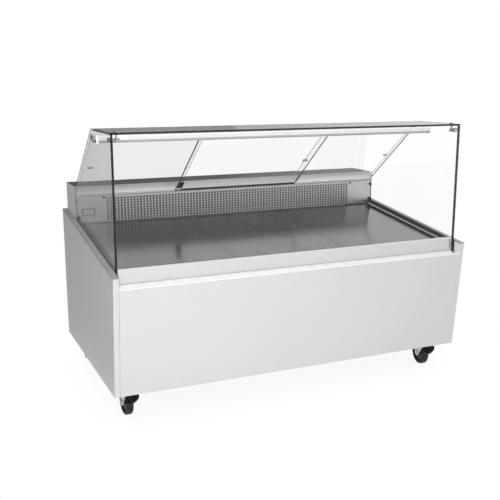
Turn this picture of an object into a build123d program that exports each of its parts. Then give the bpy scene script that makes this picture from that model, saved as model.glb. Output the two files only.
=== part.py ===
from build123d import *
import os
from math import asin, atan2, cos, pi, sin

os.makedirs("parts", exist_ok=True)

# Refrigerated serve-over display case on castors, in millimetres.
# X runs along the case, Y from the customer side to the service side, Z up from the floor.

# Cabinet
length = 1800.0
depth = 1055.0
ground_clearance = 130.0
front_height = 675.0
rear_height = 813.0
toe_setback = 50.0
side_thickness = 25.0
trim_thickness = 4.0
sheet = 1.5
seam = 0.5
overcut = 1.0
fold_radius = 3.0
rear_recess = 8.0

# Front panel and the apron behind its lip
lip_below_top = 53.0
lip_return = 24.0
lip_drop = 15.0
lip_radius = 6.0
foot_return = 22.0
apron_setback = 60.0
apron_rise = 11.0
apron_flange = 16.0
apron_end_gap = 10.0
cove_radius = 22.0
cove_drop = 4.0

# Canopy glass
glass = 6.0
glass_height = 1265.0
glass_setback = 52.0
glass_foot_lift = 10.0
roof_depth = 337.0
knee_rise = 42.0
side_glass_tail = 26.0
glass_bite = 30.0
corner_reach = 24.0
corner_hub = 16.0
disc_diameter = 20.0
disc_thickness = 5.0
stud_diameter = 9.0
stud_hole = 11.0
shoe_width = 9.0
shoe_height = 46.0
shoe_wall = 5.0
shoe_base = 8.0

# Cold well
tank_setback = 88.0
tank_rear_gap = 13.0
side_shelf = 22.0
rim_drop = 18.0
well_depth = 130.0
deck_drop = 22.0
plate_count = 3
plate_gap = 3.0
plate_slot_columns = 6
plate_slot_length = 50.0
plate_slot_width = 8.0
plate_slot_inset = 42.0
rail_width = 24.0
foam = 40.0
gasket_width = 8.0
gasket_rise = 4.5
gasket_drop = 40.0
ledge_thickness = 2.0
drain_bore = 40.0
drain_flange = 70.0
drain_wall = 3.0
drain_from_front = 62.0
drain_from_end = 874.5
drain_sides = 20
drain_end_height = 90.0

# Evaporator housing at the service side
housing_depth = 227.0
band_setback = 22.0
band_height = 51.0
air_panel_height = 135.5
air_panel_foot_drop = 17.0
air_hole_columns = 18
air_hole_rows = 3
air_hole_width = 40.0
air_hole_height = 16.0
air_margin_x = 168.0
air_margin_low = 12.0
air_margin_high = 14.0
shelf_thickness = 60.0
coil_thickness = 70.0
coil_end_gap = 110.0
coil_grooves = 14
coil_groove_width = 16.0
coil_groove_depth = 28.0
coil_fin = 26.0
fan_diameter = 128.0
fan_spacing = 760.0
fan_shaft_radius = 4.0
fan_bore_clearance = 0.05
fan_blades = 5
fan_pitch = 32.0
fan_reach_share = 0.22
fan_motor_share = 0.18
fan_hub_share = 0.12
fan_chord_share = 0.28

# Sliding doors in the sloping rear opening
door_glass = 5.0
door_top_setback = 39.0
door_top_drop = 53.0
door_band_gap = 2.8
door_foot_rise = 3.0
door_pitch = 12.0
door_side_gap = 2.5
door_overlap = 26.0
middle_door_width = 704.0
rail_height = 9.0
rail_thickness = 7.0
track_clearance = 0.5
track_wall = 2.0
track_base = 2.0
track_lip = 4.0
track_head_depth = 20.0
track_head_lift = 6.0
bracket_thickness = 8.0
bracket_height = 28.0
bracket_gap = 1.5
pull_inset = 34.0
pull_length = 30.0
pull_height = 14.0
pull_rim = 4.0

# Lamp under the canopy roof
lamp_setback = 248.0
lamp_drop = 27.0
lamp_height = 18.0
lamp_width = 40.0
diffuser_height = 12.0
diffuser_radius = 7.0
lamp_cap = 4.0

# Base and castors
castor_height = 155.0
frame_height = 40.0
frame_width = 50.0
frame_front_gap = 12.0
base_sheet = 1.5
channel_wall = 3.0
wheel_diameter = 125.0
wheel_width = 32.0
wheel_side_gap = 2.0
castor_offset = 36.0
castor_inset_left = 81.0
castor_inset_right = 120.0
castor_inset_y = 126.0
castor_angles = {"front_left": 2.0, "front_right": -7.0, "rear_left": 0.0, "rear_right": 0.0}
castor_plate_x = 85.0
castor_plate_y = 105.0
castor_plate_thickness = 4.0
race_diameter = 76.0
race_height = 8.0
kingpin_diameter = 12.0
kingpin_head = 19.2
axle_diameter = 12.0
axle_nut = 19.2
wheel_boss = 21.6
crown_thickness = 9.0
fork_wall = 4.0
fork_eye = 18.0
fork_shoulder = 14.0
running_clearance = 0.05
face_clearance = 0.3
pedal_sides = 28
pedal_width = 82.0
pedal_depth = 34.0
pedal_thickness = 9.0
pedal_pin = 8.0
pedal_drop = 30.0
pedal_tilt = 12.0
pedal_skew = 31.0
pedal_roll = 14.0
pedal_ear = 12.0
pedal_arm_width = 25.0
pedal_arm_height = 12.8

# Condensing unit and controls
coil_low = 16.0
condenser_width = 320.0
condenser_height = 260.0
condenser_thickness = 45.0
condenser_from_end = 444.5
condenser_rear_gap = 24.0
condenser_fan_diameter = 220.0
compressor_diameter = 190.0
compressor_height = 215.0
compressor_gap = 120.0
louvre_count = 12
louvre_height = 8.0
louvre_margin = 14.0
panel_width = 220.0
panel_height = 70.0
panel_face = 2.5
panel_box_depth = 60.0
panel_from_end = 314.5
panel_below_top = 120.0
switch_width = 20.0
switch_height = 25.0
switch_spacing = 40.0
switch_pocket = 15.0
switch_tilt = 7.0
switch_pivot_depth = 4.0
switch_back_depth = 9.0
switch_back_height = 15.0

# Places worked out from the sizes above
half = length / 2
front = -depth / 2
rear = depth / 2
inner = half - side_thickness
skin = rear - rear_recess
lip = front_height - lip_below_top
slope = atan2(rear_height - front_height, depth)
glass_front = front + glass_setback
glass_outer = inner - seam
glass_inner = glass_outer - glass
roof_rear = glass_front + roof_depth
air_face = rear - housing_depth
glass_rear = air_face - 2 * seam
tank_front = front + tank_setback
tank_rear = air_face - tank_rear_gap
tank_half = glass_inner - seam - side_shelf
apron_half = inner - apron_end_gap


def top_line(y):
    """Height of the sloping top of the side panels at y."""
    return front_height + (y - front) * (rear_height - front_height) / depth


def front_line(z):
    """Y of the leaning front face at height z."""
    return front + (front_height - z) * toe_setback / (front_height - ground_clearance)


apron_top = top_line(front + apron_setback) + apron_rise
panel_foot = top_line(air_face) - air_panel_foot_drop
sill = panel_foot + air_panel_height
housing_top = sill + band_height
knee = sill + knee_rise
shelf_top = panel_foot - sheet
housing_low = shelf_top - shelf_thickness
base_top = castor_height + frame_height + base_sheet
glass_foot = lip + glass_foot_lift

parts = {}


def block(x_low, x_high, y_low, y_high, z_low, z_high):
    """Box between two opposite corners."""
    middle = Pos((x_low + x_high) / 2, (y_low + y_high) / 2, (z_low + z_high) / 2)
    return middle * Box(x_high - x_low, y_high - y_low, z_high - z_low)


def slab(outline, x_low, x_high):
    """Outline in the Y-Z plane, carried along X."""
    face = make_face(Polyline(*outline, close=True))
    return extrude(Plane.YZ.offset(x_low) * face, x_high - x_low)


def folded(points, radii, side, x_low, x_high):
    """Sheet bent along a line in the Y-Z plane, with a radius at each corner."""
    path = FilletPolyline(*points, radius=radii)
    outline = offset(path, amount=sheet, side=side, closed=True)
    return extrude(Plane.YZ.offset(x_low) * make_face(outline.edges()), x_high - x_low)


def rod(radius, start, end, sides=0):
    """Round bar between two points, or one with flat sides for small round pieces that repeat."""
    line = Vector(*end) - Vector(*start)
    section = RegularPolygon(radius, sides) if sides else Circle(radius)
    return extrude(Plane(origin=start, z_dir=line) * section, line.length)


def twin(shape):
    """The shape and its mirror image at the other end of the case."""
    return Compound(children=[shape, mirror(shape, about=Plane.YZ)])


# Side panels, with a stainless strip on the sloping top edge
side_outline = [
    (front_line(ground_clearance), ground_clearance),
    (rear, ground_clearance),
    (rear, rear_height - trim_thickness),
    (front_line(front_height - trim_thickness), front_height - trim_thickness),
]
right_side = slab(side_outline, inner, half)
parts["right_side_panel"] = right_side
parts["left_side_panel"] = mirror(right_side, about=Plane.YZ)

trim_outline = [
    (front_line(front_height - trim_thickness), front_height - trim_thickness),
    (rear, rear_height - trim_thickness),
    (rear, rear_height),
    (front, front_height),
]
trim = slab(trim_outline, inner, half)
trim = fillet(trim.edges().filter_by(Axis.X).sort_by(Axis.Y)[:2], trim_thickness / 3)
parts["top_trims"] = twin(trim)

# Front panel, a folded sheet with a rounded lip along its top
panel_half = inner - seam
lip_back = front_line(lip) + lip_return
front_path = [
    (front_line(ground_clearance) + foot_return, ground_clearance),
    (front_line(ground_clearance), ground_clearance),
    (front_line(lip), lip),
    (lip_back, lip),
    (lip_back, lip - lip_drop),
]
front_radii = [fold_radius, lip_radius, fold_radius]
parts["front_panel"] = folded(front_path, front_radii, Side.RIGHT, -panel_half, panel_half)

# Apron between the front glass and the well, curving forward into a cove behind the lip
apron_face = front + apron_setback
apron_path = [
    (apron_face + apron_flange, apron_top),
    (apron_face, apron_top),
    (apron_face, lip - cove_drop),
    (lip_back + seam, lip - cove_drop),
]
parts["front_apron"] = folded(apron_path, [fold_radius, cove_radius], Side.LEFT, -apron_half, apron_half)

# Rear panel, with air slots in front of the condenser and a window for the control panel
rear_top = housing_low - seam
rear_skin = block(-panel_half, panel_half, skin - sheet, skin, ground_clearance, rear_top)
coil_floor = base_top + coil_low
louvre_pitch = condenser_height / louvre_count
louvre_half = condenser_width / 2 - louvre_margin
condenser_x = panel_half - condenser_from_end
panel_x = -panel_half + panel_from_end
for row in range(louvre_count):
    z = coil_floor + (row + 0.5) * louvre_pitch
    rear_skin -= block(condenser_x - louvre_half, condenser_x + louvre_half, skin - 2 * sheet, skin + sheet,
                       z - louvre_height / 2, z + louvre_height / 2)
panel_z = rear_top - panel_below_top
window_x = panel_width / 2 - panel_face * 4
window_z = panel_height / 2 - panel_face * 4
rear_skin -= block(panel_x - window_x, panel_x + window_x, skin - 2 * sheet, skin + sheet,
                   panel_z - window_z, panel_z + window_z)
parts["rear_panel"] = rear_skin

# Base frame of channel, open inwards, with a mounting plate in each corner, and the floor sheet on top of it
frame_half = inner - seam
frame_front = front_line(castor_height) + sheet + frame_front_gap
frame_rear = skin - sheet - seam
frame_high = castor_height + frame_height
base_frame = block(-frame_half, frame_half, frame_front, frame_rear, castor_height, frame_high)
base_frame -= block(-frame_half + frame_width, frame_half - frame_width, frame_front + frame_width,
                    frame_rear - frame_width, castor_height - overcut, frame_high + overcut)
base_frame -= block(-frame_half + channel_wall, frame_half - channel_wall, frame_front + channel_wall,
                    frame_rear - channel_wall, castor_height + channel_wall, frame_high - channel_wall)
castor_left = -half + castor_inset_left
castor_right = half - castor_inset_right
castor_front = front + castor_inset_y
castor_rear = rear - castor_inset_y
gusset_left = castor_left + castor_plate_x / 2
gusset_right = castor_right - castor_plate_x / 2
gusset_y = castor_plate_y / 2
gusset_top = castor_height + 2 * channel_wall
for x_edges in ((-frame_half, gusset_left), (gusset_right, frame_half)):
    base_frame += block(*x_edges, frame_front, castor_front + gusset_y, castor_height, gusset_top)
    base_frame += block(*x_edges, castor_rear - gusset_y, frame_rear, castor_height, gusset_top)
cross_bar = block(-frame_width / 2, frame_width / 2, frame_front, frame_rear, castor_height, frame_high)
cross_bar -= block(-frame_width / 2 + channel_wall, frame_width / 2 - channel_wall,
                   frame_front + channel_wall,
                   frame_rear - channel_wall, castor_height - overcut, frame_high - channel_wall)
base_frame += cross_bar
parts["base_frame"] = base_frame
parts["base_plate"] = block(-frame_half, frame_half, frame_front, frame_rear, frame_high, base_top)

# Stainless tank, its floor parallel to the sloping rim
def floor_line(y):
    """Upper face of the tank floor at y."""
    return top_line(y) - well_depth


def sloped(y_low, y_high, low_drop, high_drop, x_low, x_high):
    """Slab between two depths below the sloping top of the side panels."""
    outline = [
        (y_low, top_line(y_low) - low_drop),
        (y_high, top_line(y_high) - low_drop),
        (y_high, top_line(y_high) - high_drop),
        (y_low, top_line(y_low) - high_drop),
    ]
    return slab(outline, x_low, x_high)


tank_low = tank_front - sheet
tank_high = tank_rear + sheet
tank_side = tank_half + sheet
shelf_outer = glass_inner - seam
flange_front = apron_face + apron_flange + sheet
flange_rear = air_face + band_setback - 2 * sheet
drain_x = panel_half - drain_from_end
drain_y = tank_front + drain_from_front
drain_z = floor_line(drain_y)
drain_radius = drain_bore / 2 + drain_wall + seam
drain_hole = rod(drain_radius, (drain_x, drain_y, drain_z - foam), (drain_x, drain_y, drain_z + foam))
tank_floor = sloped(tank_low, tank_high, well_depth + sheet, well_depth, -tank_side, tank_side) - drain_hole
tank_end = sloped(tank_low, tank_high, well_depth, rim_drop, tank_half, tank_side)
tank_end += sloped(tank_low, tank_high, rim_drop + sheet, rim_drop, tank_side, shelf_outer)
tank_front_wall = block(-tank_half, tank_half, tank_low, tank_front, floor_line(tank_front), apron_top)
tank_front_wall += block(-tank_half, tank_half, flange_front, tank_low, apron_top - sheet, apron_top)
tank_rear_wall = block(-tank_half, tank_half, tank_rear, tank_high, floor_line(tank_high), panel_foot)
tank_rear_wall += block(-tank_half, tank_half, tank_high, flange_rear, shelf_top, panel_foot)
left_tank_end = mirror(tank_end, about=Plane.YZ)
parts["well_tank"] = Compound(children=[tank_floor, tank_front_wall, tank_rear_wall, tank_end, left_tank_end])

# Foam tub around the tank, with a shelf under the evaporator
foam_half = inner - seam
foam_front = apron_face + sheet + seam
foam_rear = glass_rear + seam
foam_cover = slab(
    [
        (foam_front, top_line(foam_front) - glass_bite),
        (foam_front, floor_line(foam_front) - sheet - foam),
        (foam_rear, floor_line(foam_rear) - sheet - foam),
        (foam_rear, top_line(foam_rear) - glass_bite),
    ],
    -foam_half,
    foam_half,
)
tank_bed = sloped(tank_low, tank_high, well_depth + sheet, -sheet, -tank_side, tank_side)
foam_shelf = block(-tank_half, tank_half, tank_high, foam_rear, housing_low, shelf_top)
foam_shelf += block(-shelf_outer, shelf_outer, foam_rear, skin - 2 * sheet, housing_low, shelf_top)
shoe_pocket = block(tank_half, foam_half, foam_front, tank_low, glass_foot - shoe_base, apron_top)
drain_way = rod(drain_bore / 2 + drain_wall + seam, (drain_x, drain_y, housing_low - 4 * foam - well_depth),
                (drain_x, drain_y, drain_z + foam))
foam_cover = foam_cover - tank_bed - shoe_pocket - mirror(shoe_pocket, about=Plane.YZ)
parts["insulation_tub"] = foam_cover + foam_shelf - drain_way

# Cross beams that carry the tub between the side panels
def beam(y):
    """Channel across the case under the tub at y, on a leg at each end that stands on the base plate."""
    y_low = y - frame_width / 2
    y_high = y + frame_width / 2
    top_low = floor_line(y_low) - sheet - foam
    top_high = floor_line(y_high) - sheet - foam
    under = top_low - frame_width
    outline = [(y_low, base_top), (y_high, base_top), (y_high, top_high), (y_low, top_low)]
    portal = slab(outline, -frame_half, frame_half)
    portal -= block(-frame_half + frame_width, frame_half - frame_width, y_low, y_high, base_top, under)
    return portal - block(-frame_half + channel_wall, frame_half - channel_wall, y_low + channel_wall,
                          y_high - channel_wall, base_top, top_low - channel_wall)


beam_front = tank_front + 2 * frame_width + drain_from_front
beam_rear = tank_rear - 2 * frame_width
parts["tub_beams"] = Compound(children=[beam(beam_front), beam(beam_rear)])


# Rails in the tank and the slotted display plates that lie on them
def deck_line(y):
    """Underside of the display plates at y."""
    return top_line(y) - deck_drop


def plate_rail(y_low, y_high, drop):
    """Folded rail under the plates, an inverted channel reaching down by drop from their underside."""
    outline = [
        (y_low, deck_line(y_low) - drop),
        (y_high, deck_line(y_high) - drop),
        (y_high, deck_line(y_high)),
        (y_low, deck_line(y_low)),
    ]
    rail = slab(outline, -tank_half + seam, tank_half - seam)
    return rail - block(-tank_half, tank_half, y_low + channel_wall, y_high - channel_wall,
                        deck_line(y_low) - 2 * drop, deck_line(y_low) - channel_wall)


tank_middle = (tank_front + tank_rear) / 2
parts["plate_rails"] = Compound(
    children=[
        plate_rail(tank_front, tank_front + rail_width, rail_width),
        plate_rail(tank_rear - rail_width, tank_rear, rail_width),
        plate_rail(tank_middle - rail_width / 2, tank_middle + rail_width / 2, well_depth - deck_drop),
    ]
)

plate_pitch = 2 * tank_half / plate_count
plate_width = plate_pitch - plate_gap
plate_front = tank_front + plate_gap
plate_rear = tank_rear - plate_gap
plate_length = (plate_rear - plate_front) / cos(slope)
plate_plane = Plane(
    origin=(0, (plate_front + plate_rear) / 2, deck_line((plate_front + plate_rear) / 2)),
    x_dir=(1, 0, 0),
    z_dir=(0, -sin(slope), cos(slope)),
)
slots = GridLocations(plate_width / plate_slot_columns, plate_slot_width, plate_slot_columns, 1)
slot_row = Pos(0, plate_slot_inset - plate_length / 2) * slots
plate_face = Rectangle(plate_width, plate_length) - slot_row * Rectangle(plate_slot_length, plate_slot_width)
plate = extrude(plate_face, sheet)
parts["display_plates"] = Compound(
    children=[
        plate_plane * Pos((number - (plate_count - 1) / 2) * plate_pitch, 0, 0) * plate
        for number in range(plate_count)
    ]
)

# Drain fitting through the tank floor, and the pipe that turns to the service side under the base
drain_out = drain_bore / 2 + drain_wall
drain_top = drain_z + drain_flange / 2 * sin(slope) + sheet
drain_low = floor_line(drain_y) - sheet - foam - frame_width
drain_mouth = (drain_x, drain_y, drain_top)
bore_foot = (drain_x, drain_y, drain_low - overcut)
bore_head = (drain_x, drain_y, drain_top + 2 * drain_wall)
drain = rod(drain_out, (drain_x, drain_y, drain_low), drain_mouth, drain_sides)
drain += rod(drain_flange / 2, drain_mouth, (drain_x, drain_y, drain_top + drain_wall), drain_sides)
drain -= rod(drain_bore / 2, bore_foot, bore_head, drain_sides)
parts["drain_outlet"] = drain
pipe_low = base_top + drain_bore
pipe_end = frame_rear - frame_width
pipe_bend = (drain_x, drain_y, pipe_low)
pipe_path = Polyline((drain_x, drain_y, drain_low), pipe_bend, (drain_x, pipe_end, pipe_low))
pipe_mouth = Plane(origin=(drain_x, drain_y, drain_low), z_dir=(0, 0, -1))
pipe_ring = RegularPolygon(drain_out, drain_sides) - RegularPolygon(drain_bore / 2, drain_sides)
parts["drain_pipe"] = sweep(pipe_mouth * pipe_ring, path=pipe_path, transition=Transition.RIGHT)

# Evaporator housing: a folded cover over the coil, a back sheet and two end plates
band = air_face + band_setback
cover_half = panel_half - sheet
cover = block(-cover_half, cover_half, band, skin, housing_top - sheet, housing_top)
cover += block(-cover_half, cover_half, band, band + sheet, sill, housing_top - sheet)
back_sheet = block(-cover_half, cover_half, skin - sheet, skin, housing_low, housing_top - sheet)
end_plate = block(cover_half, panel_half, air_face + seam, skin, housing_low, housing_top)
left_end_plate = mirror(end_plate, about=Plane.YZ)
parts["evaporator_housing"] = Compound(children=[cover, back_sheet, end_plate, left_end_plate])

# Perforated air panel, folded back along its top and foot
# Each cut stands for a group of the real small holes
air_half = panel_half - sheet - seam
air_panel = folded(
    [(band - sheet, panel_foot), (air_face, panel_foot), (air_face, sill), (band - sheet, sill)],
    [fold_radius, fold_radius],
    Side.RIGHT,
    -air_half,
    air_half,
)
air_pitch_x = 2 * (air_half - air_margin_x) / (air_hole_columns - 1)
air_pitch_z = (air_panel_height - air_margin_low - air_margin_high - air_hole_height) / (air_hole_rows - 1)
air_middle = panel_foot + (air_panel_height + air_margin_low - air_margin_high) / 2
air_holes = GridLocations(air_pitch_x, air_pitch_z, air_hole_columns, air_hole_rows)
air_pattern = Pos(0, air_middle) * (Sketch() + air_holes * Rectangle(air_hole_width, air_hole_height))
air_cut = extrude(Plane.XZ.offset(-air_face - 2 * sheet) * air_pattern, 4 * sheet)
parts["perforated_air_panel"] = air_panel - air_cut

# Evaporator coil, a fin pack between two end plates
coil_front = band + 3 * fold_radius
coil_rear = coil_front + coil_thickness
coil_high = housing_top - sheet - fold_radius
coil_half = panel_half - coil_end_gap
coil = block(-coil_half, coil_half, coil_front, coil_rear, shelf_top, coil_high)
groove_pitch = 2 * coil_half / (coil_grooves + 1)
for number in range(coil_grooves):
    x = -coil_half + (number + 1) * groove_pitch
    groove_half = (groove_pitch - coil_fin) / 2
    for y_low in (coil_front, coil_rear - coil_groove_depth):
        coil -= block(x - groove_half, x + groove_half, y_low, y_low + coil_groove_depth,
                      shelf_top + coil_groove_width, coil_high - coil_groove_width)
parts["evaporator_coil"] = coil


# Axial fans: a plate with round openings and motor brackets, and the turning rotors
def fan_bracket(x, y, z, diameter, away):
    """Motor on a bar across the opening, with its shaft pointing back at the plate; away is the Y sign."""
    reach = diameter * fan_reach_share
    leg = diameter / 2 + 2 * fold_radius
    strap = 2 * sheet
    bar = y + away * reach
    motor = diameter * fan_motor_share
    bar_edges = sorted((bar, bar + away * strap))
    shape = block(x - leg - strap, x + leg + strap, *bar_edges, z - motor / 2, z + motor / 2)
    for side in (-1, 1):
        x_edges = sorted((x + side * leg, x + side * (leg + strap)))
        shape += block(*x_edges, *sorted((y, bar)), z - motor / 2, z + motor / 2)
    shape += rod(motor, (x, bar + away * strap, z), (x, bar + away * (reach + strap), z), 16)
    return shape + rod(fan_shaft_radius, (x, y + away * face_clearance, z), (x, bar, z))


def fan_rotor(x, y, z, diameter, away):
    """Hub and pitched blades on the motor shaft."""
    reach = diameter * fan_reach_share - 2 * face_clearance
    start = y + away * face_clearance
    hub_radius = diameter * fan_hub_share
    rotor = rod(hub_radius, (x, start, z), (x, start + away * reach, z), 3 * fan_blades)
    root = hub_radius - fold_radius
    blade_length = diameter / 2 - root - fold_radius
    middle = start + away * reach / 2
    for number in range(fan_blades):
        blade = Rot(0, 0, fan_pitch) * Box(diameter * fan_chord_share, 2 * overcut, blade_length)
        blade = Pos(0, 0, root + blade_length / 2) * blade
        rotor += Pos(x, middle, z) * Rot(0, number * 360 / fan_blades, 0) * blade
    bore = fan_shaft_radius + fan_bore_clearance
    return rotor - rod(bore, (x, start - away, z), (x, start + away * (reach + overcut), z))


fan_plate_y = coil_rear + fold_radius
fan_plate_back = fan_plate_y + sheet
fan_z = (shelf_top + coil_high) / 2
fan_plate = block(-coil_half, coil_half, fan_plate_y, fan_plate_back, shelf_top, coil_high)
fan_places = {"left": -fan_spacing / 2, "right": fan_spacing / 2}
for x in fan_places.values():
    opening_radius = fan_diameter / 2 + fold_radius
    opening_front = (x, fan_plate_y - overcut, fan_z)
    fan_plate -= rod(opening_radius, opening_front, (x, fan_plate_back + overcut, fan_z), 24)
for x in fan_places.values():
    fan_plate += fan_bracket(x, fan_plate_back, fan_z, fan_diameter, 1)
parts["evaporator_fan_plate"] = fan_plate
for name, x in fan_places.items():
    parts[f"evaporator_fan_{name}"] = fan_rotor(x, fan_plate_back, fan_z, fan_diameter, 1)

# Glass canopy: front, sides and roof, drilled for the corner connectors
corner_x = glass_inner - corner_reach
corner_y = glass_front + glass + corner_reach
corner_z = glass_height - glass - corner_reach
front_pane = block(-glass_outer, glass_outer, glass_front, glass_front + glass, glass_foot, glass_height)
roof_pane = block(-glass_inner + seam, glass_inner - seam, glass_front + glass + seam, roof_rear,
                  glass_height - glass, glass_height)
side_front = glass_front + glass + seam
side_pane = slab(
    [
        (side_front, top_line(side_front) - glass_bite),
        (glass_rear, top_line(glass_rear) - glass_bite),
        (glass_rear, knee),
        (roof_rear + side_glass_tail, glass_height),
        (side_front, glass_height),
    ],
    glass_inner,
    glass_outer,
)
stud_bore = stud_hole / 2
bore_ahead = glass_front - overcut
bore_behind = glass_front + glass + overcut
bore_below = glass_height - glass - overcut
bore_above = glass_height + overcut
for x in (-corner_x, corner_x):
    front_pane -= rod(stud_bore, (x, bore_ahead, corner_z), (x, bore_behind, corner_z), 12)
    roof_pane -= rod(stud_bore, (x, corner_y, bore_below), (x, corner_y, bore_above), 12)
bore_inside = (glass_inner - overcut, corner_y, corner_z)
side_pane -= rod(stud_bore, bore_inside, (glass_outer + overcut, corner_y, corner_z), 12)
parts["front_glass"] = front_pane
parts["top_glass"] = roof_pane
parts["right_side_glass"] = side_pane
parts["left_side_glass"] = mirror(side_pane, about=Plane.YZ)


# Stainless corner connectors: a hub with three studs, each clamping a pane between two discs
def connector_arm(direction):
    """Stud from the hub through one pane, with a disc on each face of the glass."""
    hub = Vector(corner_x, corner_y, corner_z)
    near = hub + direction * corner_reach
    far = near + direction * glass
    arm = rod(stud_diameter / 2, hub, far, 8)
    arm += rod(disc_diameter / 2, near - direction * disc_thickness, near, 14)
    return arm + rod(disc_diameter / 2, far, far + direction * disc_thickness, 14)


connector = Pos(corner_x, corner_y, corner_z) * Box(corner_hub, corner_hub, corner_hub)
for direction in (Vector(1, 0, 0), Vector(0, -1, 0), Vector(0, 0, 1)):
    connector += connector_arm(direction)
parts["glass_connectors"] = twin(connector)

# Shoes that hold the foot of the front glass beside the ends of the apron
shoe_inside = inner - shoe_width
shoe_back = glass_front + glass + face_clearance
shoe_lip = glass_front - face_clearance
shoe_top = glass_foot + shoe_height
shoe_front = shoe_lip - shoe_wall
shoe = block(shoe_inside, inner, shoe_front, shoe_back + shoe_wall, glass_foot - shoe_base, glass_foot)
shoe += block(shoe_inside, shelf_outer, shoe_back, shoe_back + shoe_wall, glass_foot, shoe_top)
shoe += block(shoe_inside, inner, shoe_front, shoe_lip, glass_foot, shoe_top)
parts["front_glass_shoes"] = twin(shoe)

# Steel ledges along the ends of the well, and black gaskets that stand between them and the side panes
ledge_outside = shelf_outer - gasket_width
ledge_drop = rim_drop - ledge_thickness
parts["side_ledges"] = twin(sloped(tank_front, glass_rear, rim_drop, ledge_drop, tank_side, ledge_outside))
gasket_leg = tank_low - seam
gasket_top = top_line(flange_front) + gasket_rise
gasket = sloped(flange_front, glass_rear, rim_drop, -gasket_rise, ledge_outside, shelf_outer)
gasket += block(ledge_outside, shelf_outer, flange_front, gasket_leg, gasket_top - gasket_drop, gasket_top)
parts["side_gaskets"] = twin(gasket)

# Lamp: painted profile, opal diffuser and end caps fixed to the side panes
lamp_y = glass_front + lamp_setback
lamp_high = glass_height - lamp_drop
lamp_low = lamp_high - lamp_height
lamp_half = glass_inner - lamp_cap
lamp_body = block(-lamp_half, lamp_half, lamp_y - lamp_width / 2, lamp_y + lamp_width / 2,
                  lamp_low, lamp_high)
lamp_body = fillet(lamp_body.edges().filter_by(Axis.X).group_by(Axis.Z)[-1], lamp_height / 3)
parts["lamp_profile"] = lamp_body
diffuser = block(-lamp_half, lamp_half, lamp_y - lamp_width / 2, lamp_y + lamp_width / 2,
                 lamp_low - diffuser_height, lamp_low)
parts["lamp_diffuser"] = fillet(diffuser.edges().filter_by(Axis.X).group_by(Axis.Z)[0], diffuser_radius)
cap_middle = (lamp_high + lamp_low - diffuser_height) / 2
cap_height = lamp_height + diffuser_height + disc_thickness
cap_face = chamfer(Rectangle(lamp_width, cap_height).vertices(), cap_height / 4)
cap_face = Plane.YZ.offset(lamp_half) * Pos(lamp_y, cap_middle) * cap_face
parts["lamp_end_caps"] = twin(extrude(cap_face, lamp_cap))

# Rear opening: a plane leaning from the lower track up to the upper track
door_head = Vector(0, roof_rear + door_top_setback, glass_height - door_top_drop)
rail_foot = Vector(0, band - door_band_gap, sill + door_foot_rise)
door_span = rail_foot - door_head
door_lean = atan2(door_span.Z, door_span.Y) - asin((door_pitch + rail_thickness / 2) / door_span.length)
down = Vector(0, cos(door_lean), sin(door_lean))
outward = Vector(0, -down.Z, down.Y)
door_length = (door_head.Z - rail_foot.Z) / -down.Z
door_foot = door_head + down * door_length
opening = Plane(origin=door_head, x_dir=(1, 0, 0), z_dir=outward)


def leaning(s, n):
    """Y and Z of a point s down the opening and n out of the middle door's plane."""
    point = door_head + down * s + outward * n
    return (point.Y, point.Z)


def foot_at(n):
    """How far down the opening a door's plane, n out, meets the top of the lower track."""
    return (door_head.Z + outward.Z * n - door_foot.Z) / -down.Z


def comb(gap, s_base, s_floor, s_tip):
    """Section of a track with two grooves, gap to each side of a door's plane, from s_floor to s_tip."""
    edges = [
        (-gap - track_wall, s_base),
        (-gap - track_wall, s_tip),
        (-gap, s_tip),
        (-gap, s_floor),
        (gap, s_floor),
        (gap, s_tip),
        (door_pitch - gap, s_tip),
        (door_pitch - gap, s_floor),
        (door_pitch + gap, s_floor),
        (door_pitch + gap, s_tip),
        (door_pitch + gap + track_wall, s_tip),
        (door_pitch + gap + track_wall, s_base),
    ]
    return [leaning(s, n) for n, s in edges]


head_half = glass_inner - seam - bracket_thickness
rail_gap = rail_thickness / 2 + track_clearance
pane_gap = door_glass / 2 + track_clearance
track_top = sill + door_foot_rise - face_clearance
track_front = leaning(foot_at(-rail_gap), -rail_gap)[0]
lower_track = block(-shelf_outer, shelf_outer, track_front, band, sill, track_top)
for n_low, n_high in ((-rail_gap - track_wall, -rail_gap), (rail_gap, door_pitch - rail_gap)):
    rib_low = foot_at(n_low) + track_wall
    rib_high = foot_at(n_high) + track_wall
    rib = [leaning(rib_low, n_low), leaning(rib_low - track_wall - track_lip, n_low),
           leaning(rib_high - track_wall - track_lip, n_high), leaning(rib_high, n_high)]
    lower_track += slab(rib, -shelf_outer, shelf_outer)
lower_track -= block(-half, half, front, rear, lip, sill)
parts["lower_door_track"] = lower_track
head_base = -track_head_lift - track_base
head_section = comb(pane_gap, head_base, -track_head_lift, track_head_depth - track_head_lift)
parts["upper_door_track"] = slab(head_section, -head_half, head_half)

# Brackets with cut corners that hold the ends of the upper track on the side panes, above the doors
bracket_width = door_pitch + 2 * (pane_gap + track_wall)
bracket_plane = Plane(
    origin=(head_half, *leaning(-bracket_gap - bracket_height / 2, door_pitch / 2)),
    x_dir=(0, outward.Y, outward.Z),
    z_dir=(1, 0, 0),
)
bracket_face = chamfer(Rectangle(bracket_width, bracket_height).vertices(), bracket_height / 5)
parts["track_brackets"] = twin(extrude(bracket_plane * bracket_face, bracket_thickness + seam))

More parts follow.
